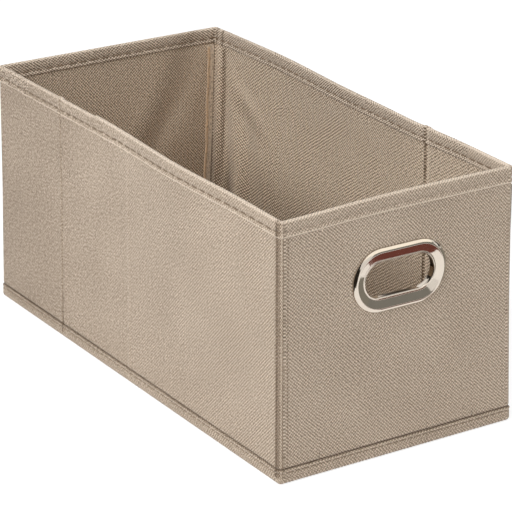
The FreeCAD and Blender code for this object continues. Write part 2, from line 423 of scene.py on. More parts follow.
def bowl_faces(rows, columns):
    """Faces of a grid whose rows are closed, with one face across its first and its last ring."""
    ends = [[row * columns + ring for row in range(rows)] for ring in (0, columns - 1)]
    return grid_faces(rows, columns, wrap_rows=True) + ends


def there_and_back(layer):
    """A layer's values, then the same ones in reverse for the layer under it."""
    return np.concatenate([layer, layer[::-1]])


def strip(name, around, section, top_rise=None, turned=False, distance=cloth_distance):
    """Carry a closed section of (depth, height) points along the road and close both ends.

    A top rise, in metres for each distance, is added to the heights, in full at the top only.
    Cloth that is turned over, as in a hem, shows its slanting weave the other way round.
    """
    depth, height = section[:, 0], section[:, 1]
    raised = np.broadcast_to(height[None, :], (len(around), len(height)))
    if top_rise is not None:
        share = (height - height.min()) / (height.max() - height.min())
        raised = raised + top_rise[:, None] * share[None, :]
    points = road(around[:, None], depth[None, :], raised)
    faces = tube_faces(*points.shape[:2])
    faces[-1].reverse()
    steps = np.linalg.norm(np.diff(section, axis=0), axis=1)
    up = height[0] + np.concatenate([[0], np.cumsum(steps)])
    up = -up if turned else up
    cloth_map = np.stack(np.broadcast_arrays(distance(around)[:, None], up[None, :]), axis=-1)
    calm = weave_calm(around[:, None], depth[None, :])
    # Painted light and shade along the road, stored with the points for the cloth's colour.
    pale = painted_light_and_shade(around[:, None], depth[None, :], height[None, :])
    return finish_mesh(name, points, faces, cloth_map, calm=calm, pale=pale)


def curve_through(points, count):
    """A smooth closed outline through a few points: cubic pieces whose slopes join neighbours."""
    place = np.linspace(0, len(points), count, endpoint=False)
    index = place.astype(int)
    share = (place - index)[:, None]
    before, here, after, beyond = (points[(index + step) % len(points)] for step in (-1, 0, 1, 2))
    return (
        here * (2 * share**3 - 3 * share**2 + 1)
        + (after - before) / 2 * (share**3 - 2 * share**2 + share)
        + after * (3 * share**2 - 2 * share**3)
        + (beyond - here) / 2 * (share**3 - share**2)
    )


# %% [markdown]
# ## Cloth
#
# The cloth is a linen-look polyester twill: slanting ribs of pale yarn, 1.4 mm apart, crossed
# by weaker ones the other way, so that the gaps between them form diamonds. A picture could
# be used, but a pattern worked out from the cloth's own map stays sharp at any distance. Two
# sine waves across the two slants give the diamonds, a slow noise decides patch by patch which
# slant is the stronger, and two fine ones make the yarns uneven and thick in places. Where the
# cloth is calm, the waves fade and the thick yarns show more. The same height drives both the
# colour and a small bump.

# %% Cloth material
RIB_ACROSS, RIB_UP = 510.0, 500.0
CROSS_ACROSS, CROSS_UP = 525.0, -480.0


def node(tree, kind, inputs=(), **settings):
    """Add a shader node, set its options, then its inputs by number or name."""
    made = tree.nodes.new(kind)
    for name, value in settings.items():
        setattr(made, name, value)
    for name, value in dict(inputs).items():
        if isinstance(value, bpy.types.NodeSocket):
            tree.links.new(value, made.inputs[name])
        else:
            made.inputs[name].default_value = value
    return made


def maths(tree, operation, first, second=0.0, third=0.0):
    made = node(tree, "ShaderNodeMath", {0: first, 1: second, 2: third}, operation=operation)
    return made.outputs[0]


def noise(tree, place, scale, detail=1.0):
    made = node(tree, "ShaderNodeTexNoise", {"Vector": place, "Scale": scale, "Detail": detail})
    return made.outputs[0]


def map_range(tree, value, *ends):
    """Carry a value from one range to another: two ends of the first, then two of the second."""
    return node(tree, "ShaderNodeMapRange", {0: value, **dict(enumerate(ends, 1))}).outputs[0]


def stored(tree, name):
    """A number that was stored with the points of the mesh."""
    return node(tree, "ShaderNodeAttribute", attribute_name=name).outputs["Fac"]


def new_material(name, inputs=()):
    """A material with one plain shader: gives the material, its tree and the shader."""
    material = bpy.data.materials.new(name)
    material.use_nodes = True
    tree = material.node_tree
    tree.nodes.clear()
    shader = node(tree, "ShaderNodeBsdfPrincipled", inputs)
    node(tree, "ShaderNodeOutputMaterial", {0: shader.outputs[0]})
    return material, tree, shader


def show_instead(tree, surface):
    """Join another shader to the material's output, in place of the plain one."""
    output = next(part for part in tree.nodes if part.type == "OUTPUT_MATERIAL")
    tree.links.new(surface, output.inputs[0])


def add_bump(tree, shader, strength, distance, height):
    made = node(tree, "ShaderNodeBump", {"Strength": strength, "Distance": distance, "Height": height})
    tree.links.new(made.outputs[0], shader.inputs["Normal"])


def colour_ramp(tree, factor, stops_and_colours):
    """Blend between colours at the given places from 0 to 1."""
    ramp = node(tree, "ShaderNodeValToRGB", {0: factor})
    elements = ramp.color_ramp.elements
    while len(elements) < len(stops_and_colours):
        elements.new(0.5)
    for element, (place, colour) in zip(elements, stops_and_colours):
        element.position = place
        element.color = (*colour, 1)
    return ramp.outputs[0]


def linear(red, green, blue):
    """A colour as it looks on a screen, from 0 to 255, as the linear light that shaders use."""
    shares = np.array([red, green, blue]) / 255
    light = np.where(shares <= 0.04045, shares / 12.92, ((shares + 0.055) / 1.055) ** 2.4)
    return tuple(float(value) for value in light)


def wave(tree, across, up, per_metre_across, per_metre_up, sway):
    """Sine of the distance along a slanting direction, counted in waves per metre, plus a sway."""
    slant = maths(tree, "MULTIPLY_ADD", across, 2 * math.pi * per_metre_across, sway)
    slant = maths(tree, "MULTIPLY_ADD", up, 2 * math.pi * per_metre_up, slant)
    return maths(tree, "SINE", slant)


def cloth_material(name, dark, middle, pale, contrast=1.0, bump=0.5, grain=(1.0, 1.0)):
    """Twill: strong and weak slanting waves, mixed patch by patch, with uneven yarns."""
    material, tree, shader = new_material(name, {
        "Roughness": 0.86, "Sheen Weight": 0.30, "Sheen Roughness": 0.4, "Specular IOR Level": 0.2})
    place = node(tree, "ShaderNodeUVMap", uv_map="cloth").outputs[0]
    parts = node(tree, "ShaderNodeSeparateXYZ", {0: place})
    across = maths(tree, "MULTIPLY", parts.outputs[0], grain[0])
    up = maths(tree, "MULTIPLY", parts.outputs[1], grain[1])
    sway = maths(tree, "MULTIPLY", noise(tree, place, 70.0, 2.0), 5.0)
    sway = maths(tree, "MULTIPLY_ADD", noise(tree, place, 380.0), 1.9, sway)
    rib = wave(tree, across, up, RIB_ACROSS, RIB_UP, sway)
    cross = wave(tree, across, up, CROSS_ACROSS, CROSS_UP, sway)
    fine = wave(tree, across, up, 2 * RIB_ACROSS, RIB_UP, sway)
    patch = map_range(tree, noise(tree, place, 55.0), 0.35, 0.65, 0.0, 1.0)
    weave = maths(tree, "MULTIPLY_ADD", rib, maths(tree, "MULTIPLY_ADD", patch, -0.10, 0.26), 0.5)
    weave = maths(tree, "MULTIPLY_ADD", cross, maths(tree, "MULTIPLY_ADD", patch, 0.14, 0.09), weave)
    weave = maths(tree, "MULTIPLY_ADD", fine, 0.06, weave)
    weave = maths(tree, "MULTIPLY_ADD", maths(tree, "MULTIPLY", rib, cross), 0.10, weave)
    calm = stored(tree, "calm")
    lost = maths(tree, "MULTIPLY", maths(tree, "SUBTRACT", weave, 0.5), calm)
    weave = maths(tree, "SUBTRACT", weave, lost)
    yarn = maths(tree, "SUBTRACT", noise(tree, place, 900.0), 0.5)
    surface = maths(tree, "MULTIPLY_ADD", yarn, 0.85, weave)
    long_yarn = node(tree, "ShaderNodeVectorMath", {0: place, 1: (0.6, 1.0, 1.0)}, operation="MULTIPLY")
    slub = maths(tree, "SUBTRACT", noise(tree, long_yarn.outputs[0], 850.0), 0.5)
    slub_share = maths(tree, "MULTIPLY_ADD", maths(tree, "MAXIMUM", calm, 0.0), 1.1, 0.30)
    surface = maths(tree, "ADD", surface, maths(tree, "MULTIPLY", slub, slub_share))
    surface = maths(tree, "MULTIPLY_ADD", surface, contrast, 0.5 - 0.5 * contrast)
    cloud = maths(tree, "SUBTRACT", noise(tree, place, 24.0, 3.0), 0.5)
    # The stored 'pale' values add the painted light and shade to the cloth's colour.
    shade = maths(tree, "ADD", maths(tree, "MULTIPLY_ADD", cloud, 0.20, surface), stored(tree, "pale"))
    colour = colour_ramp(tree, shade, [(0.0, dark), (0.5, middle), (1.0, pale)])
    tree.links.new(colour, shader.inputs["Base Color"])
    add_bump(tree, shader, bump, 0.12 * MM, surface)
    return material


OUTER_COLOURS = (linear(106, 89, 72), linear(182, 164, 145), linear(236, 220, 201))
LINING_COLOURS = (linear(106, 88, 70), linear(186, 166, 144), linear(238, 221, 200))
outer_cloth = cloth_material("taupe_twill", *OUTER_COLOURS)
hem_cloth_far = cloth_material("taupe_twill_hem", *OUTER_COLOURS, 2.0, grain=(0.88, 1.1))
lining_cloth = cloth_material("taupe_twill_inside", *LINING_COLOURS, 1.5)
lining_long_cloth = cloth_material("taupe_twill_inside_long", *LINING_COLOURS, 1.6, grain=(1.0, 1.08))
print("cloth ready, ribs", round(1000 / math.hypot(RIB_ACROSS, RIB_UP), 2), "mm apart")

# %% [markdown]
# ## Thread, board and metal
#
# Sewing thread is a shade darker than the cloth and slightly shiny. The insert board is grey
# pulp board with flecks. The eyelet is polished nickel plate: a nearly clean mirror with a
# very faint haze. Its tube is painted dark as painted shade, and a few streaks in it are
# painted pale as painted highlights.

# %% Thread, board and metal materials
def flecked_material(name, dark, pale, scale, detail, bump, bump_depth, roughness):
    """A fine noise that blends two close shades and makes a small bump."""
    material, tree, shader = new_material(name, {"Roughness": roughness})
    flecks = noise(tree, node(tree, "ShaderNodeTexCoord").outputs["Object"], scale, detail)
    colour = colour_ramp(tree, flecks, [(0.3, dark), (0.7, pale)])
    tree.links.new(colour, shader.inputs["Base Color"])
    add_bump(tree, shader, bump, bump_depth, flecks)
    return material


def thread_material(name, dark, pale):
    return flecked_material(name, dark, pale, 2600.0, 1.0, 0.4, 0.05 * MM, 0.6)


def metal_material():
    """Polished nickel plate with a faint haze in its roughness, painted shade inside the tube and painted
    highlights where the glint streaks are.
    """
    material, tree, shader = new_material("polished_nickel", {"Metallic": 1.0})
    place = node(tree, "ShaderNodeTexCoord").outputs["Object"]
    haze = noise(tree, place, 140.0, 3.0)
    tree.links.new(map_range(tree, haze, 0.3, 0.7, 0.05, 0.11), shader.inputs["Roughness"])
    depth = node(tree, "ShaderNodeSeparateXYZ", {0: place}).outputs[1]
    tube_start = float(front_face + cloth_out)
    # Painted shade: the tube behind the flange gets a dark colour, the flange a pale one.
    inside = map_range(tree, depth, tube_start - 0.2 * MM, tube_start + 0.5 * MM, 0.6, 0.0)
    tone = maths(tree, "MULTIPLY_ADD", haze, 0.3, inside)
    # Painted highlights: the stored glint streaks raise the tone.
    tone = maths(tree, "ADD", tone, stored(tree, "glint"))
    shades = [(0.15, linear(56, 50, 45)), (0.6, linear(204, 193, 180)), (0.9, linear(218, 207, 193))]
    tree.links.new(colour_ramp(tree, tone, shades), shader.inputs["Base Color"])
    add_bump(tree, shader, 0.02, 0.2 * MM, haze)
    return material


stitch_thread = thread_material("stitch_thread", linear(112, 92, 72), linear(150, 128, 104))
overlock_thread = thread_material("overlock_thread", linear(205, 166, 124), linear(238, 206, 164))
pulp_board = flecked_material(
    "pulp_board", linear(120, 112, 100), linear(158, 150, 136), 900.0, 4.0, 0.3, 0.1 * MM, 0.95)
nickel = metal_material()
print("also ready:", stitch_thread.name, overlock_thread.name, pulp_board.name, nickel.name)

# %% [markdown]
# ## Which piece crosses which crease
#
# A piece can only bend between two panels, so the road is cut in the middle of each panel,
# where nothing moves. The list gives each stretch of road, the body before and after it, and
# the crease between them. The right wall is cut at its middle crease too, which is the one
# that the folding model leaves open.

# %% Stretches of the road
FRONT_HALF_PLAIN = 50 * MM
OPEN_SLIT = 0.01 * MM
BEND_REACH = 2.4 * MM
front_middle = width / 2
back_middle = WALL_START[2] + width / 2

STRETCHES = {
    "corner_front_right": (
        front_middle + FRONT_HALF_PLAIN, RIGHT_START + quarter / 2,
        "front_wall", "right_front_wall", RIGHT_START),
    "right_quarter": (
        RIGHT_START + quarter / 2, right_mid - quarter / 2,
        "right_front_wall", "right_middle_wall", right_quarter),
    "right_middle": (right_mid - quarter / 2, right_mid - OPEN_SLIT, "right_middle_wall", None, None),
    "right_rear": (right_mid + OPEN_SLIT, right_mid + quarter, "right_rear_wall", None, None),
    "corner_back_right": (
        right_mid + quarter, back_middle,
        "right_rear_wall", "back_wall", WALL_START[2]),
    "corner_back_left": (
        back_middle, LEFT_START + quarter / 2,
        "back_wall", "left_rear_wall", LEFT_START),
    "left_quarter": (
        LEFT_START + quarter / 2, left_mid - quarter / 2,
        "left_rear_wall", "left_middle_wall", left_quarter),
    "left_middle": (
        left_mid - quarter / 2, left_mid + quarter,
        "left_middle_wall", "left_front_wall", left_mid),
    "corner_front_left": (
        left_mid + quarter, perimeter + front_middle - FRONT_HALF_PLAIN,
        "left_front_wall", "front_wall", perimeter),
    "front": (front_middle - FRONT_HALF_PLAIN, front_middle + FRONT_HALF_PLAIN, "front_wall", None, None),
}
print("stretches of cloth:", len(STRETCHES))


def follow(piece, stretch):
    """Make a piece ride on one panel; a piece whose stretch joins two panels keeps its place, with its
    transform baked in.
    """
    _, _, before, after, crease = STRETCHES[stretch]
    if after is None:
        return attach(piece, before)
    at_corner = min(abs(crease % perimeter - edge) for edge in (*WALL_START, perimeter)) <= MM
    reach = BEND_REACH * (1.6 if at_corner else 1)
    start, end = road(np.array([crease - reach, crease + reach]), 0.0, rim / 2, 0.0)
    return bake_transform(piece)


def wear(piece, material):
    piece.data.materials.append(material)
    return piece


# %% [markdown]
# ## Outer cloth and lining
#
# Two skins with the board between them. Each skin is a thin closed section: up its outer
# face, down its inner face, with enough rows to carry the waves of the wall. The front panel
# is left out here, because its skins go round the eyelet.

# %% Cloth skins
SKIN_ROWS = 34
TUCK = 1.2 * MM
PULL, PULL_HEIGHT, PULL_SPREAD = 0.75 * MM, 8.9 * MM, 0.55 * MM


def skin_heights():
    """Heights of a skin's rows: close together near the band, where the seam pulls the cloth in."""
    low, high = band_high[2] - TUCK, hem_foot + TUCK
    near = np.linspace(low, low + 3.5 * MM, 10)
    return np.concatenate([near, np.linspace(near[-1], high, SKIN_ROWS)[1:]])


def pulled(depth, heights):
    """A skin's depth, drawn towards the middle of the wall where the seam above the band pulls."""
    return depth + PULL * hill(heights, PULL_HEIGHT, PULL_SPREAD) * (1 if depth < wall / 2 else -1)


def skin_section(outer, inner):
    """Up the outer face, drawn in by the seam, then down the inner face, which keeps its distance."""
    heights = skin_heights()
    out_side = np.stack([pulled(outer, heights), heights], axis=1)
    return np.concatenate([out_side, (out_side + [inner - outer, 0])[::-1]])


for stretch, (start, end, _, _, _) in STRETCHES.items():
    if stretch == "front":
        continue
    around = stops(start, end, extra=(*CREASES, HEM_JOIN))
    cloth = strip("cloth_" + stretch, around, skin_section(cloth_out, cloth_in))
    section = skin_section(lining_out, lining_in)
    lining = strip("lining_" + stretch, around, section, distance=lining_distance)
    inside_cloth = lining_long_cloth if stretch.startswith("right") else lining_cloth
    follow(wear(cloth, outer_cloth), stretch)
    follow(wear(lining, inside_cloth), stretch)
print("cloth skins on", len(STRETCHES) - 1, "stretches")

# %% [markdown]
# ## Front cloth round the eyelet
#
# A grid can't have a hole, but it can run from the hole to the edge: one direction goes round
# the oval, the other from the oval out to the rectangle. Both outlines are functions of the
# same angle, and each point between them is a mix of the two.

# %% Front cloth
eyelet_centre_height = (eyelet_low[2] + eyelet_high[2]) / 2
eyelet_outer = (eyelet_high[2] - eyelet_low[2]) / 2
eyelet_straight = (eyelet_high[0] - eyelet_low[0]) / 2 - eyelet_outer
RING_STOPS = 160
HOLE_RADIUS = 12.6 * MM


def oval(radius, count=RING_STOPS):
    """Flat-sided oval, evenly stepped: it turns at both ends of two straight runs."""
    turn, run = np.pi * radius / 2, 2 * eyelet_straight
    marks = np.cumsum([0, turn, run, 2 * turn, run, turn])
    travelled = np.arange(count) / count * marks[-1]
    angle = np.interp(travelled, marks, np.array([0, 1, 1, 3, 3, 4]) * np.pi / 2)
    centre = np.interp(travelled, marks, np.array([1, 1, -1, -1, 1, 1]) * eyelet_straight)
    return np.stack([centre + radius * np.cos(angle), radius * np.sin(angle)], axis=1)


def outer_frame(ring):
    """Push each point of the oval straight out from the middle to the rectangle, corners kept."""
    low, high = band_high[2] - TUCK, hem_foot + TUCK
    top, bottom = high - eyelet_centre_height, low - eyelet_centre_height
    direction = ring / np.linalg.norm(ring, axis=1)[:, None]
    reach_side = FRONT_HALF_PLAIN / np.maximum(np.abs(direction[:, 0]), 1e-6)
    reach_top = np.where(direction[:, 1] > 0, top, -bottom) / np.maximum(np.abs(direction[:, 1]), 1e-6)
    framed = direction * np.minimum(reach_side, reach_top)[:, None]
    for corner in ((1, top), (1, bottom), (-1, top), (-1, bottom)):
        target = np.array([corner[0] * FRONT_HALF_PLAIN, corner[1]])
        framed[np.argmin(np.linalg.norm(framed - target, axis=1))] = target
    return framed


def front_skin(name, outer, inner):
    """Two layers of the hole-to-frame grid, joined along the hole and along the frame."""
    ring = oval(HOLE_RADIUS)
    framed = outer_frame(ring)
    share = np.concatenate([np.linspace(0, 0.94, 44), np.linspace(0.944, 1, 18)])[:, None, None]
    flat = ring[None] * (1 - share) + framed[None] * share
    around = front_middle + flat[..., 0]
    height = eyelet_centre_height + flat[..., 1]
    outer_depth = pulled(outer, height)
    front = road(around, outer_depth, height)
    back = road(around, outer_depth + (inner - outer), height)
    points = np.concatenate([front, back[::-1]])
    cloth_map = there_and_back(np.stack([cloth_distance(around), height], -1))
    # Painted light and shade along the road, stored with the points for the cloth's colour.
    pale = there_and_back(painted_light_and_shade(around, outer, height))
    faces = grid_faces(2 * len(share), RING_STOPS, wrap_rows=True, wrap_columns=True)
    return finish_mesh(name, points, faces, cloth_map, pale=pale)


follow(wear(front_skin("cloth_front", cloth_out, cloth_in), outer_cloth), "front")
follow(wear(front_skin("lining_front", lining_out, lining_in), lining_cloth), "front")
print("front cloth has a hole", round(2 * (eyelet_straight + HOLE_RADIUS) / MM, 1), "mm wide")

# %% [markdown]
# ## Hem and foot band
#
# The hem is the cloth folded over the rim and sewn through. Its section is a soft bar: a
# small lip where the fold ends, a shallow dip where the stitches pull it in, and a round top.
# The band at the foot is the same idea upside down. Sections are drawn from few points, in
# millimetres from the hem's own foot, and carried along the road. Beside the open crease the
# band gives up a step of 1.5 mm on each side, and one more at the rear end of its stretch.

# %% Hem and band
STITCH_HEIGHT_BAND = 6.6 * MM
BAND_FOOT = 4.15 * MM
BAND_STEPS = {"right_middle": slice(0, -1), "right_rear": slice(1, -1)}
HEM_RISE = [
    (0.75, 0.25), (0.40, 0.0), (0.05, 0.02), (-0.22, 0.30), (-0.30, 0.75), (-0.22, 1.25), (-0.02, 1.80),
    (0.22, 2.40), (0.30, 2.90), (0.20, 3.40), (0.02, 4.0), (-0.12, 4.9), (-0.18, 6.1), (-0.10, 7.3),
]
BAND_RISE = [
    (0.5, 0.0), (0.12, 0.04), (0.0, 0.35), (0.0, 1.2), (0.06, 1.9), (0.36, 2.35), (0.40, 2.55),
    (0.22, 2.80), (-0.10, 3.20), (-0.22, 3.55), (-0.20, 3.85), (0.05, 4.25), (0.45, 4.42), (1.0, 4.45),
]


def mirrored(outer_side):
    """Complete a section: the outer side going up, then its mirror image going down inside."""
    inner_side = outer_side[::-1].copy()
    inner_side[:, 0] = wall - inner_side[:, 0]
    return np.concatenate([outer_side, inner_side])


def hem_section():
    rise = np.array(HEM_RISE) * MM + np.array([0, hem_foot])
    radius = wall / 2
    angle = np.linspace(0, np.pi / 2, 8)
    crown = np.stack([radius - radius * np.cos(angle), rim - radius + radius * np.sin(angle)], axis=1)
    return mirrored(np.concatenate([rise, crown[:-1], crown[-1:] - [0.05 * MM, 0]]))


def band_section():
    return mirrored(np.array(BAND_RISE) * MM + np.array([0, BAND_FOOT]))


def rim_rise(around):
    """Small peaks of the rim at two creases, and a step where the ends of the hem overlap."""
    around = np.mod(around, perimeter)
    peaks = hill(around, left_quarter - MM, 2.2 * MM) + hill(around, right_quarter, 2.5 * MM)
    past = around - HEM_JOIN
    overlap = smooth_step(past / (1.6 * MM) + 0.5) * np.exp(-np.maximum(past, 0) / (45 * MM))
    return (0.7 * peaks + 1.1 * overlap) * MM


for stretch, (start, end, _, _, _) in STRETCHES.items():
    around = stops(start, end, extra=(*CREASES, HEM_JOIN))
    hem = strip("hem_" + stretch, around, hem_section(), rim_rise(around), turned=True)
    band_around = around[BAND_STEPS.get(stretch, slice(None))]
    band = strip("band_" + stretch, band_around, band_section(), turned=True)
    far_side = stretch.startswith(("right", "corner_back"))
    follow(wear(hem, hem_cloth_far if far_side else outer_cloth), stretch)
    follow(wear(band, outer_cloth), stretch)
print("hem and band on", len(STRETCHES), "stretches")

# %% [markdown]
# ## Stitches
#
# Each stitch is a short length of thread that comes up, lies on the cloth and goes down. One
# formula makes them all at once: the thread lies level along the middle of the stitch, and
# sinks and thins at both ends. The seams at two corners have shorter stitches that run up and
# down.

# %% Stitches
HEM_PITCH, HEM_STITCH = 7.55 * MM, 5.7 * MM
BAND_PITCH, BAND_STITCH = 4.85 * MM, 3.5 * MM
SEAM_PITCH, SEAM_STITCH = 5.1 * MM, 3.3 * MM
DOT_PITCH, DOT_STITCH = 2.04 * MM, 1.0 * MM
THREAD_RADIUS = 0.33 * MM
KNOTS = np.array([-1.0, -0.93, -0.75, -0.4, 0.0, 0.4, 0.75, 0.93, 1.0])


def stitches(middle_around, middle_height, depth_at, sign, long, upright=False):
    """A grid for each stitch: rings along it, six points round each ring, ends drawn together."""
    girth = THREAD_RADIUS * (1 - KNOTS**8 * 0.85)
    above = (1 - KNOTS**4) * 0.14 * MM - 0.08 * MM
    ring = np.arange(6) / 6 * 2 * np.pi
    side = np.cos(ring)[None, :] * girth[:, None]
    out = above[:, None] + np.sin(ring)[None, :] * girth[:, None] * 0.75
    forward = np.broadcast_to((KNOTS * long / 2)[:, None], side.shape)
    shift_around, shift_up = (side, forward) if upright else (forward, side)
    around = middle_around[:, None, None] + shift_around[None]
    height = middle_height[:, None, None] + shift_up[None]
    points = road(around, depth_at + sign * out[None], height)
    count, rows, columns = points.shape[:3]
    one = tube_faces(rows, columns)
    faces = [[number + order * rows * columns for number in face] for order in range(count) for face in one]
    return points.reshape(-1, 3), faces


def joined(name, parts):
    """Several point-and-face lists as one mesh."""
    points, faces, total = [], [], 0
    for some_points, some_faces in parts:
        points.append(some_points)
        faces += [[number + total for number in face] for face in some_faces]
        total += len(some_points)
    return finish_mesh(name, np.concatenate(points), faces, sharp=80)


def middles_between(start, end, pitch):
    """Middles of the stitches between two distances: a whole number round the road, corners free."""
    count = round(perimeter / pitch)
    once = (np.arange(count) + 0.5) * perimeter / count
    every = np.concatenate([once, once + perimeter])
    blocked = np.array([*WALL_START, perimeter])
    clear = np.abs(every[:, None] - blocked[None]).min(axis=1) > 3.0 * MM
    return every[clear & (every > start) & (every < end)]


SEAM_LINES = (
    (-3.9 * MM, DOT_PITCH, DOT_STITCH),
    (2.9 * MM, SEAM_PITCH, SEAM_STITCH),
    (5.2 * MM, DOT_PITCH, DOT_STITCH),
)
stitch_count = 0
for stretch, (start, end, _, _, _) in STRETCHES.items():
    on_hem = middles_between(start, end, HEM_PITCH)
    on_band = middles_between(start, end, BAND_PITCH)
    hem_height = np.full(len(on_hem), hem_foot + STITCH_ABOVE_HEM_FOOT)
    band_height = np.full(len(on_band), STITCH_HEIGHT_BAND)
    pulled_in = np.where(np.mod(on_hem, perimeter) < width, 0.27, 0.0)
    thread_depth = ((0.28 + pulled_in) * MM)[:, None, None]
    parts = [
        stitches(on_hem, hem_height, thread_depth, -1, HEM_STITCH),
        stitches(on_hem, hem_height, wall - 0.28 * MM, 1, HEM_STITCH),
        stitches(on_band, band_height, 0.38 * MM, -1, BAND_STITCH),
    ]
    for corner_at in (WALL_START[2], perimeter):
        if start < corner_at < end:
            for offset, pitch, long in SEAM_LINES:
                rows = np.arange(band_high[2] + 1.5 * MM, hem_foot - 0.5 * MM, pitch)
                line = np.full(len(rows), corner_at + offset)
                parts.append(stitches(line, rows, cloth_out, -1, long, upright=True))
    threads = joined("stitches_" + stretch, parts)
    stitch_count += sum(len(points) for points, _ in parts) // (6 * len(KNOTS))
    follow(wear(threads, stitch_thread), stretch)
print("stitches:", stitch_count)

# %% [markdown]
# ## Boards
#
# The insert boards are hidden, but they bow with their walls, or they would poke through the
# lining. Each one is a thin slab on the same road as the cloth.

# %% Boards
PANELS = {
    "front": (0, width, "front_wall"),
    "right_front": (RIGHT_START + wall, right_quarter, "right_front_wall"),
    "right_middle": (right_quarter, right_mid, "right_middle_wall"),
    "right_rear": (right_mid, RIGHT_START + length - wall, "right_rear_wall"),
    "back": (WALL_START[2], WALL_START[2] + width, "back_wall"),
    "left_rear": (LEFT_START + wall, left_quarter, "left_rear_wall"),
    "left_middle": (left_quarter, left_mid, "left_middle_wall"),
    "left_front": (left_mid, LEFT_START + length - wall, "left_front_wall"),
}
BOARD_END = CORNER_ZONE + 8 * MM
BOARD_STEPS = 30
BOARD_ROWS = 12
BOARD_SKIN_GAP = 0.05 * MM


def board_section(low, high):
    heights = np.linspace(low, high, BOARD_ROWS)
    near, far = cloth_in + BOARD_SKIN_GAP, lining_out - BOARD_SKIN_GAP
    out_side = np.stack([np.full(BOARD_ROWS, near), heights], axis=1)
    in_side = np.stack([np.full(BOARD_ROWS, far), heights[::-1]], axis=1)
    return np.concatenate([out_side, in_side])


for panel, (start, end, body) in PANELS.items():
    if panel == "front":
        continue
    around = np.linspace(start + BOARD_END, end - BOARD_END, BOARD_STEPS)
    board = strip("board_" + panel, around, board_section(board_low[2], board_high[2]))
    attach(wear(board, pulp_board), body)
    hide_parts(panel + "_board")
for node_name in ("front_board", "base_board_core"):
    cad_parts[node_name].data.materials.clear()
    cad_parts[node_name].data.materials.append(pulp_board)
print("boards:", len(PANELS))

# %% [markdown]
# ## Eyelet
#
# A pressed and plated ring: a domed flange on the cloth, a bevel that falls into the hole, a
# small rolled bead at the throat, a tube through the wall and a lip turned over a washer. The
# section is a smooth closed curve through a few measured points, carried round the oval.

# %% Eyelet
hole_radius = eyelet_outer - 8.0 * MM
RING_SECTION = 96
EYELET_RING = 240


def ring_piece(name, outline, count):
    """Carry a (radius, depth) outline round the oval: every radius has its own oval."""
    section = curve_through(np.array(outline) * MM, count)
    rings = np.stack([oval(radius, EYELET_RING) for radius in section[:, 0]], axis=1)
    depth = np.broadcast_to(section[None, :, 1], rings.shape[:2])
    points = np.stack(
        [rings[..., 0], front_face + depth, eyelet_centre_height + rings[..., 1]], axis=-1)
    faces = grid_faces(EYELET_RING, count, wrap_rows=True, wrap_columns=True)
    # Painted highlights: streaks on the lower half of the tube get a paler colour, so that they mirror more
    # light.
    streaks = ridges(rings[..., 0], (1, -13, 3), (1, 15, 5), (1, 21.5, 0.8))
    glint = streaks * (rings[..., 1] < 0) * hill(depth, cloth_out + 1.8 * MM, 1.4 * MM)
    return finish_mesh(name, points, faces, sharp=60, glint=glint)


def steps_from(radius, depth, *steps):
    """Outline points in mm, as steps outwards and backwards from one measured point."""
    return [(radius + outwards, depth + backwards) for outwards, backwards in steps]


outer_mm = eyelet_outer / MM
hole_mm = hole_radius / MM
cloth_mm = cloth_out / MM
back_mm = (eyelet_high[1] - front_face) / MM
lining_mm = lining_in / MM
washer_mm = (washer_high[1] - front_face) / MM
washer_outer = (washer_high[2] - washer_low[2]) / 2 / MM
eyelet_outline = (
    steps_from(
        outer_mm, cloth_mm, (0, 0), (-0.03, -0.45), (-0.18, -0.82), (-0.60, -1.14), (-1.10, -1.43),
        (-1.60, -1.70), (-2.02, -1.87), (-2.35, -1.92), (-2.70, -1.86), (-3.20, -1.70), (-4.20, -1.34),
        (-5.30, -0.95), (-6.30, -0.59), (-6.75, -0.43))
    + steps_from(
        hole_mm, cloth_mm, (0.85, -0.46), (0.45, -0.62), (0.12, -0.40), (-0.05, 0.15), (-0.03, 0.85),
        (0, 1.5))
    + steps_from(hole_mm, washer_mm, (0, -0.3))
    + steps_from(hole_mm, back_mm, (0.15, -0.25), (0.7, 0), (1.6, -0.1), (2.15, -0.6))
    + steps_from(hole_mm, washer_mm, (1.7, 0.02), (0.9, -0.2))
    + steps_from(hole_mm, lining_mm, (0.85, -0.6))
    + steps_from(hole_mm, cloth_mm, (0.85, 1.3), (1.1, 0.95))
    + steps_from(outer_mm, cloth_mm, (-5.20, 0.20), (-3.0, 0.02), (-0.6, 0.02))
)
eyelet = ring_piece("eyelet_ring", eyelet_outline, RING_SECTION * 2)
washer_outline = (
    steps_from(hole_mm, lining_mm, (0.95, 0.02))
    + steps_from(hole_mm, washer_mm, (0.95, -0.05), (1.4, 0))
    + steps_from(washer_outer, washer_mm, (-1.6, 0), (-0.7, -0.15))
    + steps_from(washer_outer, lining_mm, (-0.1, 0.25), (0, 0.03), (-1.0, 0.02))
)
washer = ring_piece("eyelet_back_washer", washer_outline, 48)
for piece, replaced in ((eyelet, "eyelet"), (washer, "eyelet_washer")):
    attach(wear(piece, nickel), "front_wall")
    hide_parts(replaced)
print("eyelet", round(2 * (eyelet_straight + eyelet_outer) / MM, 1), "mm wide")

# %% [markdown]
# ## Overlocked seam allowance
#
# Inside two corners the cut edge of the cloth shows as a narrow flap. Its free edge is bound
# with looping thread. The flap is a thin wavy strip, and the binding is one thread whose path
# zigzags between the face and the edge.

# %% Seam flaps
flap_wide = flap_high[0] - flap_low[0]
FLAP_THICKNESS = 0.42 * MM
LOOP_PITCH = 1.5 * MM
OVERLOCK_RADIUS, OVERLOCK_SIDES = 0.20 * MM, 5


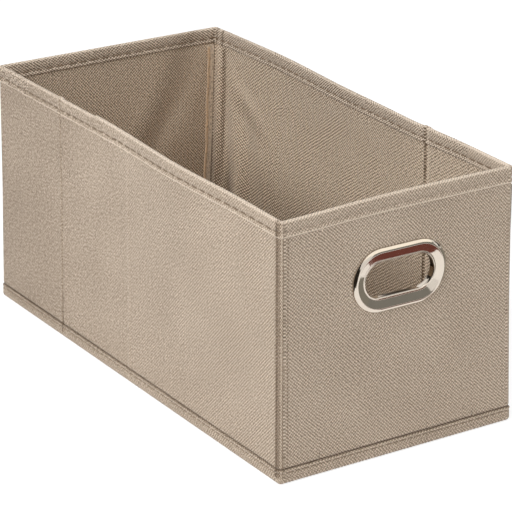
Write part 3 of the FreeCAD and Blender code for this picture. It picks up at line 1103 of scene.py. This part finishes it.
def tube(line, radius, sides):
    """Round tube along a line of points: two cross directions per point, a ring on each."""
    ahead = np.gradient(line, axis=0)
    ahead /= np.linalg.norm(ahead, axis=1)[:, None]
    first = np.cross(ahead, np.array([0.31, 0.77, 0.55]))
    first /= np.linalg.norm(first, axis=1)[:, None]
    second = np.cross(ahead, first)
    angle = np.arange(sides) / sides * 2 * np.pi
    ring = np.cos(angle)[None, :, None] * first[:, None] + np.sin(angle)[None, :, None] * second[:, None]
    return line[:, None] + ring * radius, tube_faces(len(line), sides)


def seam_flap(name, corner_at, body, replaced):
    """Strip beside a corner, inside the wall, bound along its free edge by a zigzag thread."""
    near, far = wall + 0.5 * MM, wall + flap_wide
    low, high = flap_low[2], flap_high[2]
    heights = np.linspace(low, high, 90)
    edge_wave = (np.sin(heights / (7 * MM)) * 0.25 + np.sin(heights / (3.1 * MM)) * 0.12) * MM
    shares = np.linspace(0, 1, 9)
    distance = near + (far - near + edge_wave[:, None]) * shares[None, :]
    curl = smooth_step((shares - 0.6) / 0.4)[None, :] * 0.35 * MM
    surface = lining_in + 0.06 * MM + curl
    top = road(corner_at + distance, surface + FLAP_THICKNESS, heights[:, None])
    under = road(corner_at + distance, surface, heights[:, None])
    sheet = np.concatenate([top, under[:, ::-1]], axis=1)
    rows, columns = sheet.shape[:2]
    cloth_map = np.stack(np.broadcast_arrays(heights[:, None], np.arange(columns)[None] * 0.6 * MM), -1)
    # The flap's colour is lifted all over: a painted highlight against the shade of the corner.
    flap = finish_mesh(
        name, sheet, tube_faces(rows, columns), cloth_map,
        calm=np.full((rows, columns), 0.8), pale=np.full((rows, columns), 0.45))
    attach(wear(flap, lining_cloth), body)
    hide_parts(replaced)

    turns = int((high - low - 2 * MM) / LOOP_PITCH)
    travel = np.linspace(0, turns, turns * 8 + 1)
    up = low + MM + travel * LOOP_PITCH
    edge_at = far + np.interp(up, heights, edge_wave)
    centre_distance = edge_at - 0.75 * MM + np.cos(travel * 2 * np.pi) * 0.85 * MM
    centre_depth = lining_in + 0.70 * MM + np.sin(travel * 2 * np.pi) * 0.40 * MM
    line = road(corner_at + centre_distance, centre_depth, up)
    binding = finish_mesh(name + "_overlock", *tube(line, OVERLOCK_RADIUS, OVERLOCK_SIDES), sharp=80)
    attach(wear(binding, overlock_thread), body)


seam_flap("seam_flap_front", 0.0, "front_wall", "front_seam_flap")
seam_flap("seam_flap_back", WALL_START[2], "back_wall", "back_seam_flap")
print("seam flaps:", 2)

# %% [markdown]
# ## Bottom cloth
#
# The floor cloth turns up round the foot of the walls in a soft roll. A closed ring of
# sections round the whole road makes the roll, and two flat faces close it below and above.
# When the walls fold, this cloth crumples under them, so it is pressed towards the front.

# %% Bottom cloth
TRAY_TOP = 4.12 * MM
TRAY_ROLL = 2.6 * MM


def bottom_cloth():
    """Sections round the whole road: up inside, over the turned edge and down in a soft roll."""
    floor_top = cover_low[2]
    angle = np.linspace(0, np.pi / 2, 8)
    roll = TRAY_ROLL - TRAY_ROLL * np.stack([np.cos(angle), np.sin(angle)], axis=1)
    edge = [(wall, -0.3 * MM), (wall - 0.3 * MM, 0), (0.35 * MM, 0), (0.05 * MM, -0.25 * MM), (0, -0.8 * MM)]
    section = np.concatenate([[(wall, floor_top)], np.array(edge) + [0, TRAY_TOP], roll])
    around = stops(0.0, perimeter, step=3 * MM)[:-1]
    arcs = np.mod(CORNER_ZONE * np.linspace(-0.999, 0.999, 13), perimeter)
    around = around[(around > CORNER_ZONE * 1.01) & (around < perimeter - CORNER_ZONE * 1.01)]
    around = np.concatenate([arcs[7:], around, arcs[:7]])
    points = road(around[:, None], section[None, :, 0], section[None, :, 1], 0.0)
    faces = bowl_faces(*points.shape[:2])
    along_section = section[None, :, 0] + section[None, :, 1]
    cloth_map = np.stack(np.broadcast_arrays(around[:, None], along_section), -1)
    return finish_mesh("bottom_cloth_tray", points, faces, cloth_map)


tray = bottom_cloth()
wear(tray, outer_cloth)
print("bottom cloth:", len(tray.data.polygons), "faces")
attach(tray, "front_wall")
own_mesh(tray)
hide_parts("bottom_cloth")

# %% [markdown]
# ## Base board
#
# The loose floor is a board wrapped in the lining cloth. The wrap rounds its edges and is a
# little fuller in the middle. Its outline is a rectangle with round corners, shrunk step by
# step to build the top, the edge and the bottom.

# %% Base board cover
BASE_CORNER = 6 * MM
WRAP_THICKNESS = 0.42 * MM
WRAP_RINGS = np.array([40, 12, 4]) * MM
WRAP_FULLER = np.array([0.05, 0.12, 0.18]) * MM


def round_rectangle(half_width, half_length, radius, per_corner=8):
    """Outline of a rectangle with round corners, anticlockwise, with extra points on its sides."""
    outline = []
    for turn, (x_sign, y_sign) in enumerate(((1, 1), (-1, 1), (-1, -1), (1, -1))):
        angle = np.linspace(0, np.pi / 2, per_corner) + turn * np.pi / 2
        centre = np.array([x_sign * (half_width - radius), y_sign * (half_length - radius)])
        outline.append(centre + radius * np.stack([np.cos(angle), np.sin(angle)], axis=1))
    closed = np.concatenate([*outline, outline[0][:1]])
    gaps = np.linalg.norm(np.diff(closed, axis=0), axis=1)
    place = np.concatenate([[0], np.cumsum(gaps)])
    even = np.unique(np.concatenate([place[:-1], np.linspace(0, place[-1], 120, endpoint=False)]))
    return np.stack([np.interp(even, place, closed[:, 0]), np.interp(even, place, closed[:, 1])], axis=1)


def base_shell(inset_by):
    """One closed surface of the wrap: the outline, shrunk over the underside, the edge and the top."""
    half = cover_high[:2] - inset_by
    low, high = cover_low[2] + inset_by, cover_high[2] - inset_by
    edge = (high - low) / 2
    angle = np.linspace(-np.pi / 2, np.pi / 2, 9)
    inset = np.concatenate([WRAP_RINGS, edge * (1 - np.cos(angle)), WRAP_RINGS[::-1]])
    height = np.concatenate([[low] * 3, low + edge + edge * np.sin(angle), high + WRAP_FULLER])
    outline = round_rectangle(*half, BASE_CORNER)
    rings = [
        np.column_stack([outline * (1 - step / half), np.full(len(outline), level)])
        for step, level in zip(inset, height)
    ]
    points = np.stack(rings, axis=1)
    return points.reshape(-1, 3), bowl_faces(*points.shape[:2])


def base_cover():
    """The wrap has an outer and an inner surface, a cloth's thickness apart."""
    outer, faces = base_shell(0.0)
    inner, more = base_shell(WRAP_THICKNESS)
    faces = faces + [[number + len(outer) for number in face] for face in more]
    points = np.concatenate([outer, inner])
    return finish_mesh("base_board_wrap", points, faces, points[:, :2] + points[:, 2:])


cover = base_cover()
wear(cover, lining_cloth)
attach(cover, "base_board")
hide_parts("base_board_cover")
print("base board", [round(float(v) / MM) for v in cover_high - cover_low], "mm")

# %% [markdown]
# ## The frame's own cloth solids
#
# The frame has one flat piece of cloth, lining, hem and band on each panel. The bent pieces
# above stand for them, panel by panel.

# %% Replace the flat cloth
STANDS_FOR = {
    "front": ("front",), "corner_front_right": ("right_front",), "right_quarter": (),
    "right_middle": ("right_middle",), "right_rear": ("right_rear",), "corner_back_right": ("back",),
    "corner_back_left": ("left_rear",), "left_quarter": ("left_middle",), "left_middle": (),
    "corner_front_left": ("left_front",),
}
print("panels whose flat cloth is replaced:", sum(map(len, STANDS_FOR.values())))
LAYERS = {"cloth_": "_cloth", "lining_": "_lining", "hem_": "_hem", "band_": "_bottom_band"}
for stretch, panels in STANDS_FOR.items():
    for panel in panels:
        for kind, part in LAYERS.items():
            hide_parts(panel + part)

# %% [markdown]
# ## The cloth's layers
#
# The outer cloth and the lining are stretched over the boards without any fullness. The hem
# and the band are the outer cloth's own edges, turned over.

# %% [markdown]
# ## Floor, light and camera
#
# The bin stands on a plain pale floor under soft studio light: a large lamp high on the left
# and weaker ones in front and overhead. The floor and the background are white to the camera
# and to the metal, and dimmer to the cloth, so that the white doesn't wash it out.

# %% Stage
def seen_directly(tree):
    """1 for rays from the camera and in reflections or glass, 0 for the rays that carry light around."""
    path = node(tree, "ShaderNodeLightPath")
    seen = maths(tree, "MAXIMUM", path.outputs["Is Camera Ray"], path.outputs["Is Transmission Ray"])
    return maths(tree, "MAXIMUM", seen, path.outputs["Is Glossy Ray"])


def stage_plane(name, corners, material):
    mesh = bpy.data.meshes.new(name)
    mesh.from_pydata(corners, [], [[0, 1, 2, 3]])
    mesh.materials.append(material)
    plane = new_object(name, mesh)
    return plane


def floor():
    """Pale floor: plain paper for the light, nearly white where it is seen, with a soft shadow."""
    material, tree, paper = new_material(
        "studio_floor", {"Base Color": (0.86, 0.86, 0.86, 1), "Roughness": 0.9})
    faint = node(tree, "ShaderNodeBsdfDiffuse", {"Color": (0.45, 0.45, 0.45, 1)})
    glow = node(tree, "ShaderNodeEmission", {"Color": (1, 1, 1, 1), "Strength": 0.80})
    shown = node(tree, "ShaderNodeAddShader", {0: faint.outputs[0], 1: glow.outputs[0]})
    ways = {0: seen_directly(tree), 1: paper.outputs[0], 2: shown.outputs[0]}
    show_instead(tree, node(tree, "ShaderNodeMixShader", ways).outputs[0])
    around = ((-6, -6), (6, -6), (6, 6), (-6, 6))
    stage_plane("studio_floor", [(x, y, -0.0002) for x, y in around], material)


def card(name, shade, corners):
    """A glowing card that only polished metal sees: a painted reflection for the eyelet to mirror."""
    material, tree, _ = new_material(name)
    glow = node(tree, "ShaderNodeEmission", {"Color": (*linear(*shade), 1), "Strength": 1.0})
    show_instead(tree, glow.outputs[0])
    plane = stage_plane(name, corners, material)
    plane.visible_camera = False
    plane.visible_diffuse = False
    plane.visible_shadow = False
    plane.visible_transmission = False


def area_lamp(name, place, target, size, power):
    lamp = bpy.data.lights.new(name, "AREA")
    lamp.energy = power
    lamp.size = size
    holder = new_object(name, lamp)
    holder.location = place
    holder.rotation_euler = (Vector(target) - Vector(place)).to_track_quat("-Z", "Y").to_euler()
    return holder


def studio_world(strength):
    """Even dim light from all sides, and a white background where it is seen."""
    world = bpy.data.worlds.new("studio")
    bpy.context.scene.world = world
    world.use_nodes = True
    tree = world.node_tree
    tree.nodes.clear()
    soft = node(tree, "ShaderNodeBackground", {"Color": (1, 1, 1, 1), "Strength": strength})
    white = node(tree, "ShaderNodeBackground", {"Color": (1, 1, 1, 1), "Strength": 1.0})
    ways = {0: seen_directly(tree), 1: soft.outputs[0], 2: white.outputs[0]}
    mix = node(tree, "ShaderNodeMixShader", ways)
    node(tree, "ShaderNodeOutputWorld", {0: mix.outputs[0]})


floor()
# Painted reflections for the eyelet: grey and dark cards round the bin, a bright white one high in front,
# and a brown one on the floor before the front wall.
card("card_front", (142, 142, 138), [
    (0.62, -2.5, -0.1), (5, -2.5, -0.1), (5, -2.5, 1.35), (0.62, -2.5, 1.35)])
card("card_right", (44, 40, 36), [(3, -1.1, 0.15), (3, -0.2, 0.15), (3, -0.2, 1.0), (3, -1.1, 1.0)])
card("card_above", (300, 296, 286), [(-1.5, -2.5, 1.36), (5, -2.5, 1.36), (5, -2.5, 4), (-1.5, -2.5, 4)])
card("card_foot", (122, 74, 66), [
    (0.062, -0.33, 0.002), (0.15, -0.33, 0.002), (0.11, -0.187, 0.002), (0.042, -0.187, 0.002)])
card("card_beside", (146, 144, 136), [
    (0.14, -0.1, 0.001), (4, -0.1, 0.001), (4, -3, 0.001), (0.8, -3, 0.001)])
card("card_left", (46, 42, 36), [
    (-0.12, -0.7, 0.003), (-0.7, -1.0, 1.8), (-0.7, 0.6, 1.8), (-0.12, 0.3, 0.003)])
studio_world(0.2)
area_lamp("key_left", (-1.6, -0.5, 1.5), (0, 0, 0.05), 1.2, 36.5)
fill = area_lamp("fill_front", (0.7, -2.0, 1.0), (0, 0, 0.07), 1.4, 11.8)
fill.visible_glossy = False
area_lamp("top", (0.1, 0.1, 2.2), (0, 0, 0.07), 1.6, 7.5)
print("lamps:", len(bpy.data.lights))

# %% [markdown]
# ## Camera
#
# A long lens from the front left, a little above the rim. The angles and the distance come
# from fitting the seven visible corners of the bin.

# %% Camera
AZIMUTH = -32.59
ELEVATION = 21.41
DISTANCE = 1.493
TARGET = np.array([0, 0, 0.075])
SIDEWAYS, UPWARDS = 8.21 * MM, -11.51 * MM
LENS, SENSOR = 183.0, 36.0


def camera():
    azimuth, elevation = math.radians(AZIMUTH), math.radians(ELEVATION)
    level = math.cos(elevation)
    back = np.array([math.sin(azimuth) * level, -math.cos(azimuth) * level, math.sin(elevation)])
    right = np.array([math.cos(azimuth), math.sin(azimuth), 0])
    up = np.cross(back, right)
    data = bpy.data.cameras.new("camera")
    data.lens = LENS
    data.sensor_width = SENSOR
    data.clip_start, data.clip_end = 0.05, 50
    holder = new_object("camera", data)
    place = TARGET + back * DISTANCE + right * SIDEWAYS + up * UPWARDS
    turned = Matrix(np.column_stack([right, up, back]).tolist()).to_4x4()
    turned.translation = Vector(place)
    holder.matrix_world = turned
    bpy.context.scene.camera = holder


camera()
print("camera: lens", LENS, "mm, looking down by", ELEVATION, "degrees")
bpy.context.scene.view_settings.view_transform = "Standard"
